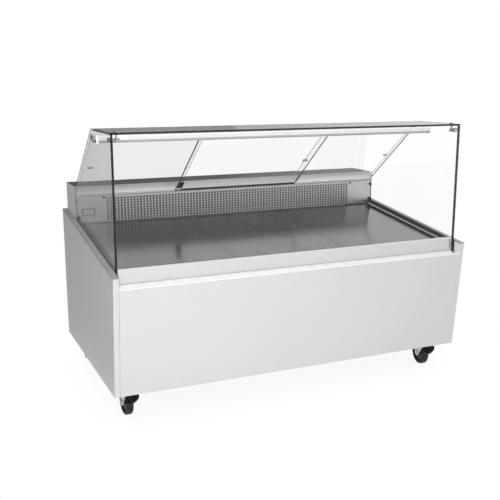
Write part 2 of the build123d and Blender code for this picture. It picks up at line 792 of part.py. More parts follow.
# Three glass doors, each with a rail along its foot and a finger pull
outer_edge = glass_inner - door_side_gap
outer_width = outer_edge - middle_door_width / 2 + door_overlap
doors = {
    "left": (-outer_edge, outer_width, door_pitch, -1),
    "middle": (-middle_door_width / 2, middle_door_width, 0.0, 1),
    "right": (outer_edge - outer_width, outer_width, door_pitch, 1),
}
pull_outline = chamfer(Rectangle(pull_length, pull_height).vertices(), pull_rim)
pull_hole = offset(pull_outline, -pull_rim + running_clearance)
pull_plug = offset(pull_outline, -pull_rim)
for name, (x_low, width, n, pull_side) in doors.items():
    foot = foot_at(n)
    pane_length = foot - rail_height / 2
    place = opening * Pos(x_low + width / 2, 0, n)
    pull = Pos(pull_side * (width / 2 - pull_inset), door_length / 2, 0)
    pane = Pos(0, pane_length / 2, 0) * Box(width, pane_length, door_glass)
    pane -= pull * extrude(pull_hole, 2 * door_glass, both=True)
    rail = Pos(0, foot, 0) * Box(width, 2 * rail_height, rail_thickness)
    rail -= Pos(0, pane_length / 2, 0) * Box(2 * width, pane_length, door_glass)
    rail = place * rail - block(-half, half, front, rear, lip, door_foot.Z)
    flange = Pos(0, 0, door_glass / 2) * extrude(pull_outline, sheet)
    ring = extrude(pull_plug, door_glass / 2, both=True) + flange + mirror(flange, about=Plane.XY)
    parts[f"{name}_door_glass"] = place * pane
    parts[f"{name}_door_fittings"] = Compound(children=[rail, place * pull * ring])


# Castors: plate with race and king pin, swivelling fork with axle, wheel, and a pedal on the front pair
fork_top = castor_height - castor_plate_thickness - race_height - face_clearance
fork_low = fork_top - crown_thickness
wheel_radius = wheel_diameter / 2
fork_gap = wheel_width / 2 + wheel_side_gap
race_radius = race_diameter / 2
pin_foot = fork_low - fork_wall
pedal_axis_y = -race_radius + pedal_pin
pedal_axis_z = fork_low - pedal_pin


def castor_plate():
    """Mounting plate, bearing race and king pin about the swivel axis."""
    high = castor_height
    low = high - castor_plate_thickness
    shape = block(-castor_plate_x / 2, castor_plate_x / 2, -castor_plate_y / 2, castor_plate_y / 2, low, high)
    shape += rod(race_radius, (0, 0, low - race_height), (0, 0, low), 18)
    shape += rod(kingpin_diameter / 2, (0, 0, pin_foot), (0, 0, low))
    return shape + rod(kingpin_head / 2, (0, 0, pin_foot - fork_wall), (0, 0, pin_foot), 6)


def castor_fork(braked):
    """Crown and two tapering legs, with the axle bolt through their eyes."""
    outside = fork_gap + fork_wall
    crown = block(-outside, outside, -race_radius, race_radius, fork_low, fork_top)
    crown = chamfer(crown.edges().filter_by(Axis.Z), fork_eye / 2)
    pin_bore = kingpin_diameter / 2 + running_clearance
    crown -= rod(pin_bore, (0, 0, fork_low - overcut), (0, 0, fork_top + overcut))
    leg_outline = [
        (-race_radius + fork_eye / 2, fork_top),
        (race_radius - fork_eye / 2, fork_top),
        (castor_offset + fork_eye, wheel_radius + fork_eye / 2),
        (castor_offset + fork_eye, wheel_radius - fork_eye / 2),
        (castor_offset + fork_eye / 2, wheel_radius - fork_eye),
        (castor_offset - fork_eye / 2, wheel_radius - fork_eye),
        (castor_offset - fork_eye, wheel_radius - fork_eye / 2),
        (-race_radius + fork_eye / 2, fork_low - fork_shoulder),
    ]
    leg = slab(leg_outline, fork_gap, fork_gap + fork_wall)
    fork = crown + leg + mirror(leg, about=Plane.YZ)
    bolt = fork_gap + 2 * fork_wall
    axle_end = (fork_gap, castor_offset, wheel_radius)
    fork += rod(axle_diameter / 2, (-fork_gap, castor_offset, wheel_radius), axle_end)
    nut = rod(axle_nut / 2, axle_end, (bolt, castor_offset, wheel_radius), 6)
    fork = fork + nut + mirror(nut, about=Plane.YZ)
    if braked:
        ear_low = pedal_axis_z - pedal_ear / 2
        for x_edges in ((-outside, -fork_gap), (fork_gap, outside)):
            fork += block(*x_edges, pedal_axis_y - pedal_ear, 0, ear_low, fork_top)
        pin_end = (outside, pedal_axis_y, pedal_axis_z)
        fork += rod(pedal_pin / 2, (-outside, pedal_axis_y, pedal_axis_z), pin_end)
    return fork


def castor_wheel():
    """Broad tread on a hub that runs on the axle between the legs."""
    tread = rod(wheel_radius, (-wheel_width / 2, 0, 0), (wheel_width / 2, 0, 0), 48)
    hub_end = fork_gap - face_clearance
    tread += rod(wheel_boss / 2, (-hub_end, 0, 0), (hub_end, 0, 0), 12)
    tread -= rod(axle_diameter / 2 + running_clearance, (-fork_gap, 0, 0), (fork_gap, 0, 0))
    return Pos(0, castor_offset, wheel_radius) * tread


def brake_pedal():
    """Oval foot paddle on two arms that turn on the pin between the fork's lugs."""
    arm_x = fork_gap - face_clearance
    paddle_y = pedal_axis_y - pedal_pin - pedal_depth / 2
    paddle_z = pedal_axis_z - pedal_drop
    turns = [2 * pi * step / pedal_sides for step in range(pedal_sides)]
    rim = [(pedal_width / 2 * cos(turn), pedal_depth / 2 * sin(turn)) for turn in turns]
    oval = extrude(make_face(Polyline(*rim, close=True)), pedal_thickness)
    lean = Rot(Z=pedal_skew) * Rot(X=pedal_tilt) * Rot(Y=-pedal_roll)
    pedal = Pos(0, paddle_y, paddle_z) * lean * oval
    barrel = rod(pedal_pin, (-arm_x, pedal_axis_y, pedal_axis_z), (arm_x, pedal_axis_y, pedal_axis_z), 12)
    arm = slab(
        [
            (pedal_axis_y, pedal_axis_z + pedal_arm_height / 2),
            (paddle_y, paddle_z + pedal_thickness),
            (paddle_y, paddle_z + pedal_thickness / 2),
            (pedal_axis_y, pedal_axis_z - pedal_arm_height / 2),
        ],
        -pedal_arm_width / 2,
        pedal_arm_width / 2,
    )
    pin_hole = rod(pedal_pin / 2 + running_clearance, (-fork_gap, pedal_axis_y, pedal_axis_z),
                   (fork_gap, pedal_axis_y, pedal_axis_z))
    return pedal + arm + barrel - pin_hole


castor_places = {
    "front_left": (castor_left, castor_front),
    "front_right": (castor_right, castor_front),
    "rear_left": (castor_left, castor_rear),
    "rear_right": (castor_right, castor_rear),
}
parts["castor_plates"] = Compound(children=[Pos(x, y, 0) * castor_plate() for x, y in castor_places.values()])
for name, (x, y) in castor_places.items():
    turn = Pos(x, y, 0) * Rot(Z=castor_angles[name])
    braked = name.startswith("front")
    parts[f"{name}_castor_fork"] = turn * castor_fork(braked)
    parts[f"{name}_castor_wheel"] = turn * castor_wheel()
    if braked:
        parts[f"{name}_brake_pedal"] = turn * brake_pedal()

# Condensing unit on the base plate: coil at the air slots, shrouded fan, compressor
condenser_rear = skin - sheet - condenser_rear_gap
condenser_front = condenser_rear - condenser_thickness
condenser_half = condenser_width / 2
condenser_high = coil_floor + condenser_height
condenser_left = condenser_x - condenser_half
condenser_right = condenser_x + condenser_half
condenser = block(condenser_left, condenser_right, condenser_front, condenser_rear,
                  coil_floor, condenser_high)
condenser += block(condenser_left, condenser_right,
                   condenser_front, condenser_front + condenser_thickness / 4, base_top, coil_floor)
fin_pitch = condenser_width / (coil_grooves / 2 + 1)
for number in range(coil_grooves // 2):
    x = condenser_left + (number + 1) * fin_pitch
    condenser -= block(x - coil_groove_width / 2, x + coil_groove_width / 2,
                       condenser_rear - condenser_thickness / 2, condenser_rear,
                       coil_floor + coil_groove_width, condenser_high - coil_groove_width)
parts["condenser_coil"] = condenser
shroud_front = condenser_front - sheet
condenser_fan_z = coil_floor + condenser_height / 2
shroud = block(condenser_left, condenser_right, shroud_front, condenser_front, base_top, condenser_high)
shroud_hole = condenser_fan_diameter / 2 + fold_radius
shroud -= rod(shroud_hole, (condenser_x, shroud_front - overcut, condenser_fan_z),
              (condenser_x, condenser_front + overcut, condenser_fan_z), 30)
condenser_fan_place = (condenser_x, shroud_front, condenser_fan_z, condenser_fan_diameter, -1)
parts["condenser_shroud"] = shroud + fan_bracket(*condenser_fan_place)
parts["condenser_fan"] = fan_rotor(*condenser_fan_place)
shell_x = condenser_left - compressor_gap
shell_y = condenser_front - compressor_diameter / 2
compressor_radius = compressor_diameter / 2
compressor_high = base_top + coil_low + compressor_height
compressor_low = base_top + coil_low
shell_foot = (shell_x, shell_y, compressor_low)
compressor = rod(compressor_radius, shell_foot, (shell_x, shell_y, compressor_high), 24)
compressor = chamfer(compressor.faces().sort_by(Axis.Z)[-1].edges(), compressor_diameter / 6)
compressor += block(shell_x - compressor_radius, shell_x + compressor_radius, shell_y - compressor_radius / 2,
                    shell_y + compressor_radius / 2, base_top, base_top + coil_low + sheet)
parts["compressor"] = compressor

# Control panel in the rear window, with a terminal box behind it and two rocker switches
panel_front = skin + panel_face
fascia = block(panel_x - panel_width / 2, panel_x + panel_width / 2, skin, panel_front,
               panel_z - panel_height / 2, panel_z + panel_height / 2)
fascia += block(panel_x - window_x + seam, panel_x + window_x - seam, skin - panel_box_depth, skin,
                panel_z - window_z + seam, panel_z + window_z - seam)
switch_places = {
    "power_switch": panel_x + panel_width / 2 - switch_spacing,
    "lamp_switch": panel_x + panel_width / 2 - 2 * switch_spacing,
}
for x in switch_places.values():
    fascia -= block(x - switch_width / 2 - face_clearance, x + switch_width / 2 + face_clearance,
                    panel_front - switch_pocket, panel_front + overcut,
                    panel_z - switch_height / 2 - 2 * face_clearance,
                    panel_z + switch_height / 2 + 2 * face_clearance)
display_half = panel_width / 8
display_x = panel_x - panel_width / 4
fascia -= block(display_x - display_half, display_x + display_half,
                panel_front - sheet / 2, panel_front + overcut,
                panel_z - panel_height / 5, panel_z + panel_height / 5)
parts["control_panel"] = fascia
switch_axis_y = panel_front - switch_pivot_depth
switch_back = panel_front - switch_back_depth
rocker_high = panel_front + sheet
rocker_outline = [
    (switch_back, -switch_back_height / 2),
    (switch_back, switch_back_height / 2),
    (switch_axis_y + sheet, switch_height / 2 - sheet),
    (rocker_high, switch_height / 2 - sheet),
    (panel_front, 0),
    (rocker_high, -switch_height / 2 + sheet),
    (switch_axis_y + sheet, -switch_height / 2 + sheet),
]
rocker_bar = slab(rocker_outline, -switch_width / 2, switch_width / 2)
rocker_pin = Pos(0, switch_axis_y, 0)
for name, x in switch_places.items():
    parts[name] = Pos(x, 0, panel_z) * rocker_pin * Rot(X=-switch_tilt) * rocker_pin.inverse() * rocker_bar

for name, shape in parts.items():
    export_step(shape, f"parts/{name}.step")
print(len(parts), "nodes")
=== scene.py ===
import math

import bpy
import numpy as np
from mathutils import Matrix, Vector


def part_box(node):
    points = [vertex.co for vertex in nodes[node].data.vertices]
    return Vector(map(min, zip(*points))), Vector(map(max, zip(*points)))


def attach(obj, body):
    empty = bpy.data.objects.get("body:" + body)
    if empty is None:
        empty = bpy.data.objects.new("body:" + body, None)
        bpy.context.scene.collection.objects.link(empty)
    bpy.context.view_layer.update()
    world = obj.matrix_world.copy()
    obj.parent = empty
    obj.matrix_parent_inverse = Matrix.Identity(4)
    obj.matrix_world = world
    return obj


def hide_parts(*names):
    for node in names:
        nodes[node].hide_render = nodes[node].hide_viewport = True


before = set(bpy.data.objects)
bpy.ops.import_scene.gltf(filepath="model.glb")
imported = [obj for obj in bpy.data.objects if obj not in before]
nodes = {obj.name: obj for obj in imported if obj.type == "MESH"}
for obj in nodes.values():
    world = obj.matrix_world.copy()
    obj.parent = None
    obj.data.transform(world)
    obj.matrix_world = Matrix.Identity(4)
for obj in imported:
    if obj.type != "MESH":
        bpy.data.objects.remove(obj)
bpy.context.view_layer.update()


# Castors: zinc-plated pressed forks that turn on swivel races, bolted under the corners of the base frame.
# Black moulded wheels with a rubber tread run on the axle bolts; the front pair has black foot pedals.
def finish(name, colour, roughness, metallic=0.0):
    """New material of one Principled shader. Returns the material, its node tree and the shader."""
    made = bpy.data.materials.new(name)
    made.use_nodes = True
    shader = made.node_tree.nodes["Principled BSDF"]
    shader.inputs["Base Color"].default_value = (*colour, 1.0)
    shader.inputs["Roughness"].default_value = roughness
    shader.inputs["Metallic"].default_value = metallic
    return made, made.node_tree, shader


def grain(tree, scale, stretch=(1.0, 1.0, 1.0), detail=3.0):
    """Noise on the piece's own coordinates, stretched along its axes. Returns the noise's value socket."""
    place = tree.nodes.new("ShaderNodeTexCoord")
    turn = tree.nodes.new("ShaderNodeMapping")
    turn.inputs["Scale"].default_value = stretch
    noise = tree.nodes.new("ShaderNodeTexNoise")
    noise.inputs["Scale"].default_value = scale
    noise.inputs["Detail"].default_value = detail
    tree.links.new(place.outputs["Object"], turn.inputs["Vector"])
    tree.links.new(turn.outputs["Vector"], noise.inputs["Vector"])
    return noise.outputs["Fac"]


def ramp(tree, value, low, high, start=0.0, stop=1.0):
    """Value from start..stop carried linearly onto low..high and held there. Returns the new socket."""
    spread = tree.nodes.new("ShaderNodeMapRange")
    spread.inputs["From Min"].default_value = start
    spread.inputs["From Max"].default_value = stop
    spread.inputs["To Min"].default_value = low
    spread.inputs["To Max"].default_value = high
    tree.links.new(value, spread.inputs["Value"])
    return spread.outputs["Result"]


def shade(tree, shader, value, dark, light):
    """Base colour that runs from dark to light with the value."""
    mix = tree.nodes.new("ShaderNodeMix")
    mix.data_type = "RGBA"
    mix.inputs["A"].default_value = (*dark, 1.0)
    mix.inputs["B"].default_value = (*light, 1.0)
    tree.links.new(value, mix.inputs["Factor"])
    tree.links.new(mix.outputs["Result"], shader.inputs["Base Color"])


def relief(tree, shader, value, strength, distance):
    """Fine bump on the surface from the value; distance in metres."""
    bump = tree.nodes.new("ShaderNodeBump")
    bump.inputs["Strength"].default_value = strength
    bump.inputs["Distance"].default_value = distance
    tree.links.new(value, bump.inputs["Height"])
    tree.links.new(bump.outputs["Normal"], shader.inputs["Normal"])


def moulded(name, dark, light, roughness):
    """Matte moulding: mottled colour and a fine grained skin."""
    made, tree, shader = finish(name, light, roughness)
    shade(tree, shader, grain(tree, scale=60.0), dark, light)
    relief(tree, shader, grain(tree, scale=800.0), strength=0.18, distance=0.0003)
    return made


def wear(node_name, material):
    """Gives a CAD node its finish in place of the plain packed one."""
    piece = nodes[node_name]
    piece.data.materials.clear()
    piece.data.materials.append(material)
    return piece


def ease(piece, width, segments=2):
    """Rounds the sharp edges of a piece: loose triangles are welded, then bevelled."""
    weld_reach = 1e-5
    least_turn = math.radians(35)
    weld = piece.modifiers.new("weld", "WELD")
    weld.merge_threshold = weld_reach
    bevel = piece.modifiers.new("edges", "BEVEL")
    bevel.width = width
    bevel.segments = segments
    bevel.limit_method = "ANGLE"
    bevel.angle_limit = least_turn


def sheet_mesh(name, corners, faces):
    """Mesh object at the origin, from an array of points and lists of faces."""
    mesh = bpy.data.meshes.new(name)
    mesh.from_pydata(corners.tolist(), [], [f for block in faces for f in block.tolist()])
    mesh.update()
    piece = bpy.data.objects.new(name, mesh)
    bpy.context.scene.collection.objects.link(piece)
    return piece


def turned(name, centre, axis, profile, turns):
    """Surface of revolution of a closed profile of (radius, offset) pairs.

    Point = centre + offset * axis + radius * (cos(angle) * across + sin(angle) * up).
    Edges sharper than 40 degrees stay sharp.
    """
    crease = math.radians(40)
    axis = np.array(axis) / np.linalg.norm(axis)
    across = np.cross((0.0, 0.0, 1.0), axis)
    across = across / np.linalg.norm(across)
    up = np.cross(axis, across)
    angle = np.linspace(0.0, 2 * math.pi, turns, endpoint=False)[:, None]
    spoke = np.cos(angle) * across + np.sin(angle) * up
    radius, offset = np.array(profile).T[:, None, :, None]
    points = np.array(centre) + offset * axis + radius * spoke[:, None, :]
    loop = len(profile)
    turn, step = np.meshgrid(np.arange(turns), np.arange(loop), indexing="ij")
    next_turn = (turn + 1) % turns * loop
    next_step = (step + 1) % loop
    turn = turn * loop
    faces = np.stack([turn + step, next_turn + step, next_turn + next_step, turn + next_step], -1)
    piece = sheet_mesh(name, points.reshape(-1, 3), [faces.reshape(-1, 4)])
    piece.data.shade_smooth()
    piece.data.set_sharp_from_angle(angle=crease)
    return piece


zinc, tree, shader = finish("zinc_plate", (0.55, 0.55, 0.54), roughness=0.35, metallic=1.0)
shade(tree, shader, grain(tree, scale=120.0), (0.42, 0.425, 0.42), (0.58, 0.58, 0.57))
zinc_gloss = ramp(tree, grain(tree, scale=60.0), low=0.28, high=0.45)
tree.links.new(zinc_gloss, shader.inputs["Roughness"])
tread_rubber = moulded("tread_rubber", (0.006, 0.006, 0.006), (0.012, 0.012, 0.012), roughness=0.65)
wheel_core = moulded("wheel_core", (0.004, 0.004, 0.004), (0.008, 0.008, 0.008), roughness=0.55)
pedal_black = moulded("pedal_black", (0.004, 0.004, 0.004), (0.008, 0.008, 0.008), roughness=0.45)
castor_turn = {"front_left": 2.0, "front_right": -7.0, "rear_left": 0.0, "rear_right": 0.0}
wheel_radius = 0.0625
wheel_half = 0.016
hub_half = 0.0177
hub_radius = 0.0135
axle_bore = 0.00605
web_half = 0.0095
web_radius = (0.017, 0.045)
hub_step = 0.002
rim_slope = 0.004
shoulder = 0.007
quarter = np.linspace(0.0, math.pi / 2, 7)
shoulder_radius = wheel_radius - shoulder + shoulder * np.sin(quarter)
shoulder_offset = wheel_half - shoulder + shoulder * np.cos(quarter)
wheel_left = np.concatenate(
    [
        [(axle_bore, hub_half), (hub_radius, hub_half)],
        [(hub_radius, web_half + hub_step), (web_radius[0], web_half)],
        [(web_radius[1], web_half), (web_radius[1] + rim_slope, wheel_half)],
        np.stack([shoulder_radius, shoulder_offset], -1),
    ]
) * (1.0, -1.0)
wheel_profile = np.concatenate([wheel_left, wheel_left[::-1] * (1.0, -1.0)])
tread_faces = np.abs(np.arange(len(wheel_profile)) - len(wheel_left) + 1) <= len(quarter)
wheel_turns = 72
sheet_edge = 0.0012
pedal_edge = 0.002
wear("castor_plates", zinc)
for corner, degrees in castor_turn.items():
    fork = wear(f"{corner}_castor_fork", zinc)
    ease(fork, sheet_edge)
    box_low, box_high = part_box(f"{corner}_castor_wheel")
    axle = (math.cos(math.radians(degrees)), math.sin(math.radians(degrees)), 0.0)
    wheel = turned(f"{corner}_wheel", (box_low + box_high) / 2, axle, wheel_profile, wheel_turns)
    wheel.data.materials.append(wheel_core)
    wheel.data.materials.append(tread_rubber)
    wheel_slots = np.tile(tread_faces, wheel_turns).astype(np.int32)
    wheel.data.polygons.foreach_set("material_index", wheel_slots)
    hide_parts(f"{corner}_castor_wheel")
    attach(wheel, f"{corner}_wheel")
for corner in ("front_left", "front_right"):
    pedal = wear(f"{corner}_brake_pedal", pedal_black)
    ease(pedal, pedal_edge, segments=3)


# Base and machinery: a painted channel frame with a sheet floor, which carries the condensing unit.
# Hidden from the customer, but seen from below and through the slots at the rear.
def coated(name, dark, light, roughness):
    """Powder-coated sheet: a faint cloudiness in the colour and a fine orange-peel relief."""
    made, tree, shader = finish(name, light, roughness)
    shade(tree, shader, grain(tree, scale=3.0), dark, light)
    relief(tree, shader, grain(tree, scale=650.0, detail=1.0), strength=0.12, distance=0.0004)
    spread = 0.05
    gloss = ramp(tree, grain(tree, scale=14.0), low=roughness - spread, high=roughness + spread)
    tree.links.new(gloss, shader.inputs["Roughness"])
    return made


frame_paint = coated("frame_paint", (0.30, 0.31, 0.32), (0.36, 0.37, 0.38), roughness=0.55)
for name in ("base_frame", "base_plate", "tub_beams", "condenser_shroud", "evaporator_fan_plate"):
    wear(name, frame_paint)
fin_metal, tree, shader = finish("fin_aluminium", (0.42, 0.43, 0.44), roughness=0.4, metallic=1.0)
fin_lines = (1.0, 0.02, 0.02)
relief(tree, shader, grain(tree, scale=900.0, stretch=fin_lines), strength=0.6, distance=0.001)
wear("condenser_coil", fin_metal)
moulded_black = moulded("moulded_black", (0.014, 0.014, 0.015), (0.024, 0.024, 0.026), roughness=0.5)
wear("condenser_fan", moulded_black)
wear("compressor", moulded_black)
pipe_grey = coated("pipe_grey", (0.40, 0.405, 0.41), (0.46, 0.465, 0.47), roughness=0.5)
wear("drain_pipe", pipe_grey)


# Side panels: foamed cheeks, 25 mm thick, faced with white coated sheet, at both ends of the case.
# Their top edge slopes up towards the service side, and everything else is fixed between them.
white_coat = coated("white_coat", (0.76, 0.765, 0.77), (0.80, 0.805, 0.81), roughness=0.42)
for end in ("left", "right"):
    panel = wear(f"{end}_side_panel", white_coat)
    ease(panel, sheet_edge)


# Front panel, apron and rear panel: folded white sheets, coated like the side panels.
# The front hangs between the cheeks with a rounded lip, and the apron curves up behind it in a cove.
along_x, along_y, along_z = (1.0, 0.0, 0.0), (0.0, 1.0, 0.0), (0.0, 0.0, 1.0)


def reckon(tree, operation, *terms):
    """Math node on one or two terms, each a socket or a plain number. Returns the value's socket."""
    node = tree.nodes.new("ShaderNodeMath")
    node.operation = operation
    for place, term in zip(node.inputs, terms):
        if isinstance(term, float):
            place.default_value = term
        else:
            tree.links.new(term, place)
    return node.outputs["Value"]


def slant(tree, axis):
    """How far the surface looks along the axis, from -1 to 1. Returns the value's socket."""
    surface = tree.nodes.new("ShaderNodeNewGeometry")
    along = tree.nodes.new("ShaderNodeVectorMath")
    along.operation = "DOT_PRODUCT"
    along.inputs[1].default_value = axis
    tree.links.new(surface.outputs["Normal"], along.inputs[0])
    return along.outputs["Value"]


def facing(tree, axis):
    """One where the surface looks within 45 degrees of the axis, either way, else zero."""
    half_right = 0.7
    return reckon(tree, "GREATER_THAN", reckon(tree, "ABSOLUTE", slant(tree, axis)), half_right)


def joined(tree, where, under, over):
    """Surface that is the shader under where the value is zero and the one over where it is one."""
    mix = tree.nodes.new("ShaderNodeMixShader")
    tree.links.new(where, mix.inputs["Fac"])
    tree.links.new(under, mix.inputs[1])
    tree.links.new(over, mix.inputs[2])
    return mix.outputs["Shader"]


def second(made, where, value, dark, light, roughness, metallic=0.0):
    """Give a material a second surface where a value is one, dark to light with another value: a real
    second finish on some pieces, painted light on others.
    """
    tree = made.node_tree
    surface = tree.nodes["Material Output"].inputs["Surface"]
    under = surface.links[0].from_socket
    over = tree.nodes.new("ShaderNodeBsdfPrincipled")
    over.inputs["Roughness"].default_value = roughness
    over.inputs["Metallic"].default_value = metallic
    shade(tree, over, value, dark, light)
    tree.links.new(joined(tree, where, under, over.outputs["BSDF"]), surface)


def faced(made, axis, dark, light, roughness):
    """Give the faces that look along the axis, either way, a second surface of a faintly cloudy colour: a
    real finish on some pieces, a painted highlight on others.
    """
    tree = made.node_tree
    second(made, facing(tree, axis), grain(tree, scale=3.0), dark, light, roughness)


def measured(tree, axis):
    """The place along X, Y or Z in metres. Returns the value's socket."""
    place = tree.nodes.new("ShaderNodeTexCoord")
    parts = tree.nodes.new("ShaderNodeSeparateXYZ")
    tree.links.new(place.outputs["Object"], parts.inputs["Vector"])
    return parts.outputs[axis]


front_coat_painted_highlight = coated("front_coat_painted_highlight", (0.76, 0.765, 0.77), (0.80, 0.805, 0.81), roughness=0.42)
# The front's up- and down-facing faces, its rounded lip among them, are a lighter, glossier white than the
# rest of the sheet: a painted highlight on the lip.
faced(front_coat_painted_highlight, along_z, (0.93, 0.935, 0.94), (0.96, 0.965, 0.97), roughness=0.25)
# The apron is a lighter white than the front and the cheeks, though it is the same coated sheet: painted
# light.
apron_coat_painted_light = coated("apron_coat_painted_light", (0.88, 0.885, 0.89), (0.92, 0.925, 0.93), roughness=0.42)
wear("front_panel", front_coat_painted_highlight)
wear("front_apron", apron_coat_painted_light)
wear("rear_panel", white_coat)


# Cold well: a moulded foam tub holds a welded stainless tank with a drain in its floor.
# Slotted display plates lie on folded rails, all bare sheet brushed along the case.
def brushed(name, dark, light, roughness, along):
    """Brushed stainless steel: fine scratches stretched along one axis vary colour, gloss and relief."""
    made, tree, shader = finish(name, light, roughness, metallic=1.0)
    scratch = 0.012
    smoother, rougher = 0.08, 0.1
    stretch = [1.0, 1.0, 1.0]
    stretch["XYZ".index(along)] = scratch
    lines = grain(tree, scale=900.0, stretch=stretch, detail=4.0)
    shade(tree, shader, lines, dark, light)
    gloss = ramp(tree, lines, low=roughness - smoother, high=roughness + rougher)
    tree.links.new(gloss, shader.inputs["Roughness"])
    relief(tree, shader, lines, strength=0.12, distance=0.0002)
    return made


foam, tree, shader = finish("foam", (0.72, 0.66, 0.46), roughness=0.9)
shade(tree, shader, grain(tree, scale=90.0), (0.62, 0.56, 0.38), (0.78, 0.72, 0.52))
relief(tree, shader, grain(tree, scale=400.0), strength=0.4, distance=0.001)
wear("insulation_tub", foam)
well_steel = brushed("well_steel", (0.15, 0.152, 0.152), (0.21, 0.212, 0.212), roughness=0.16, along="X")
for name in ("well_tank", "display_plates", "plate_rails", "drain_outlet"):
    wear(name, well_steel)


# Evaporator: a dark fin pack on the shelf behind the well, with a plate that holds two fans.
# The folded stainless housing over it is the service-side shelf, between end plates coated like the cheeks.
dark_fins, tree, shader = finish("dark_fins", (0.05, 0.05, 0.052), roughness=0.5)
fin_shade = grain(tree, scale=700.0, stretch=fin_lines)
shade(tree, shader, fin_shade, (0.02, 0.02, 0.021), (0.07, 0.07, 0.072))
wear("evaporator_coil", dark_fins)
for name in ("evaporator_fan_left", "evaporator_fan_right"):
    wear(name, moulded_black)
housing_dark, housing_light = (0.22, 0.223, 0.223), (0.31, 0.313, 0.313)
housing_steel = brushed("housing_steel", housing_dark, housing_light, roughness=0.34, along="X")
faced(housing_steel, along_x, (0.74, 0.745, 0.75), (0.80, 0.805, 0.81), roughness=0.45)
tree = housing_steel.node_tree
# Faces that look along Y are painted from white at the sill to grey at the top: painted light on the
# housing's front face.
band_low, band_high = 0.902, 0.945
band_painted_light = ramp(tree, measured(tree, "Z"), low=1.0, high=0.0, start=band_low, stop=band_high)
band_face = facing(tree, along_y)
band_dark, band_light = (0.64, 0.645, 0.645), (1.0, 1.0, 1.0)
second(housing_steel, band_face, band_painted_light, band_dark, band_light, roughness=0.4, metallic=0.4)
ease(wear("evaporator_housing", housing_steel), sheet_edge)


# Perforated air panel: thin stainless sheet with rows of small square holes for the cold air.
# Folded back along its top and foot, screwed on at both plain ends, with a blank probe plate at the left.
def perforated(name, low, high, first, count, pitch, hole, bend):
    """Grid of cells in X and Z on the panel's face, with the profile of its two folds as further rows.

    A cell in the pattern is eight faces round a hole with cut corners: four quads to the hole's
    sides and four triangles to its corners. All other cells are one quad. The hole is given by its
    half width, its half height and the cut of its corners.
    """
    columns = first[0] + pitch[0] * (np.arange(count[0] + 1) - 0.5)
    rows = first[1] + pitch[1] * (np.arange(count[1] + 1) - 0.5)
    xs = np.concatenate(([low[0]], columns, [high[0]]))
    arc = np.linspace(0.0, math.pi / 2, 5)
    foot_y = low[1] + bend - bend * np.sin(arc)
    foot_z = low[2] + bend - bend * np.cos(arc)
    head_y = low[1] + bend - bend * np.cos(arc)
    head_z = high[2] - bend + bend * np.sin(arc)
    flat_y = np.full(len(rows), low[1])
    profile_y = np.concatenate(([high[1]], foot_y, flat_y, head_y, [high[1]]))
    profile_z = np.concatenate(([low[2]], foot_z, rows, head_z, [high[2]]))
    wide, tall = len(xs), len(profile_y)
    grid = np.empty((tall, wide, 3))
    grid[..., 0] = xs
    grid[..., 1] = profile_y[:, None]
    grid[..., 2] = profile_z[:, None]
    grid = grid.reshape(-1, 3)
    row, column = np.meshgrid(np.arange(tall - 1), np.arange(wide - 1), indexing="ij")
    first_row = 1 + len(arc)
    holed = (row >= first_row) & (row < first_row + count[1]) & (column >= 1) & (column <= count[0])
    base = row * wide + column
    quad = np.stack([base, base + 1, base + wide + 1, base + wide], -1)
    plain = quad[~holed]
    cell = quad[holed]
    centre = (grid[cell[:, 0]] + grid[cell[:, 2]]) / 2
    half_x, half_z, cut = hole
    ring = np.array(
        [
            (-half_x + cut, 0.0, -half_z),
            (half_x - cut, 0.0, -half_z),
            (half_x, 0.0, -half_z + cut),
            (half_x, 0.0, half_z - cut),
            (half_x - cut, 0.0, half_z),
            (-half_x + cut, 0.0, half_z),
            (-half_x, 0.0, half_z - cut),
            (-half_x, 0.0, -half_z + cut),
        ]
    )
    rim = (centre[:, None, :] + ring[None]).reshape(-1, 3)
    near = len(grid) + 8 * np.arange(len(cell))[:, None] + np.arange(8)
    blocks = [plain]
    for side in range(4):
        here, there = cell[:, side], cell[:, (side + 1) % 4]
        blocks.append(np.stack([here, there, near[:, 2 * side + 1], near[:, 2 * side]], -1))
        blocks.append(np.stack([there, near[:, (2 * side + 2) % 8], near[:, 2 * side + 1]], -1))
    return sheet_mesh(name, np.concatenate([grid, rim]), blocks)


def prism(outline, start, end, across, up):
    """Straight moulding: a closed outline in the plane of across and up, carried from start to end.

    The outline runs anticlockwise from across to up. Returns its points and its faces, with flat ends.
    """
    outline = np.array(outline)
    across, up, start, end = (np.array(line, float) for line in (across, up, start, end))
    if np.dot(np.cross(across, up), end - start) < 0:
        outline = outline[::-1]
    ring = outline[:, :1] * across + outline[:, 1:] * up
    count = len(outline)
    near = np.arange(count)
    after = (near + 1) % count
    sides = np.stack([near, after, after + count, near + count], -1)
    return np.concatenate([start + ring, end + ring]), [sides, near[None, ::-1], near[None] + count]


def gathered(name, prisms):
    """One mesh object of several prisms."""
    points, faces, total = [], [], 0
    for corners, blocks in prisms:
        points.append(corners)
        faces.extend(block + total for block in blocks)
        total += len(corners)
    return sheet_mesh(name, np.concatenate(points), faces)


def rectangle(width, height):
    """Outline of a rectangle from its lower left corner at zero."""
    return [(0.0, 0.0), (width, 0.0), (width, height), (0.0, height)]


air_low, air_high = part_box("perforated_air_panel")
air_count = (83, 9)
air_pitch = (0.0172, 0.0134)
air_margin = 0.0112
air_first = (-0.7075, air_low.z + air_margin)
air_hole = (0.0054, 0.0047, 0.0009)
air_bend = 0.003
air_sheet = 0.0012
air_panel = perforated("air_panel", air_low, air_high, air_first, air_count, air_pitch, air_hole, air_bend)
air_dark, air_light = (0.46, 0.465, 0.465), (0.59, 0.595, 0.595)
air_steel = brushed("air_panel_steel", air_dark, air_light, roughness=0.30, along="X")
